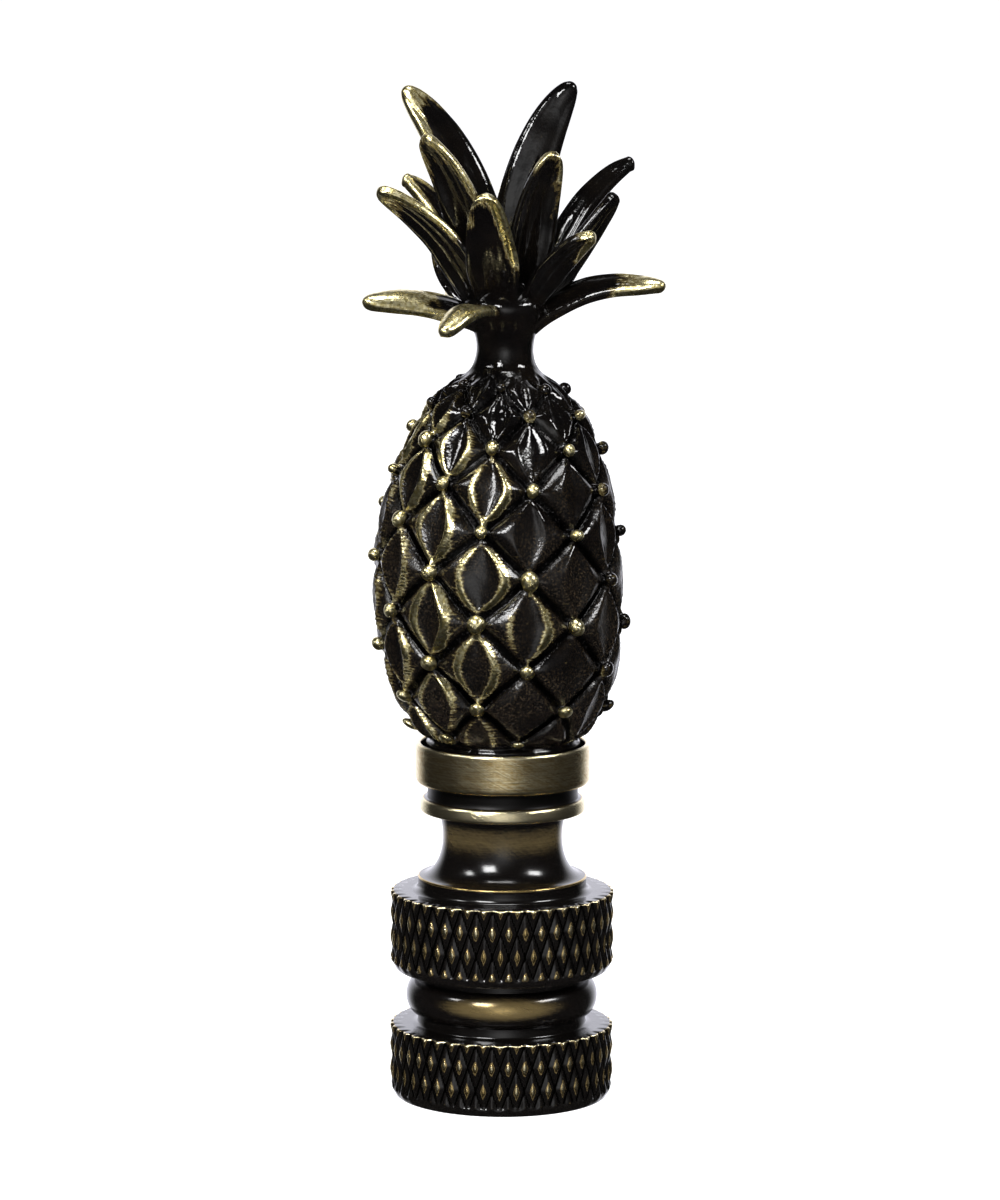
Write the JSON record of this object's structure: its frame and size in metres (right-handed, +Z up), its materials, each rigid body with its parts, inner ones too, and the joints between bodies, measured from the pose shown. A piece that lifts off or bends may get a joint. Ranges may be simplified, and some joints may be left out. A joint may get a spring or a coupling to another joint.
{
  "type": "lamp finial",
  "caption": "Antique brass lamp finial: a cast pineapple with a crown of leaves on a turned base with two knurled discs and a screw hole underneath.",
  "frame": {"origin": "centre of the base's underside, on the axis of the screw hole", "axes": "+Z up along the axis from the base to the crown, -Y towards the front that faces the viewer, +X to the viewer's right"},
  "size_m": [0.0167, 0.0144, 0.0571],
  "materials": {
    "cast_antique_brass": "black-brown patina, glossy, rubbed back to brass on the raised edges",
    "turned_antique_brass": "dark patina over brushed brass, rubbed bright on the edges"
  },
  "bodies": {
    "root": {"pineapple_casting": "cast_antique_brass", "turned_base": "turned_antique_brass"}
  },
  "joints": []
}
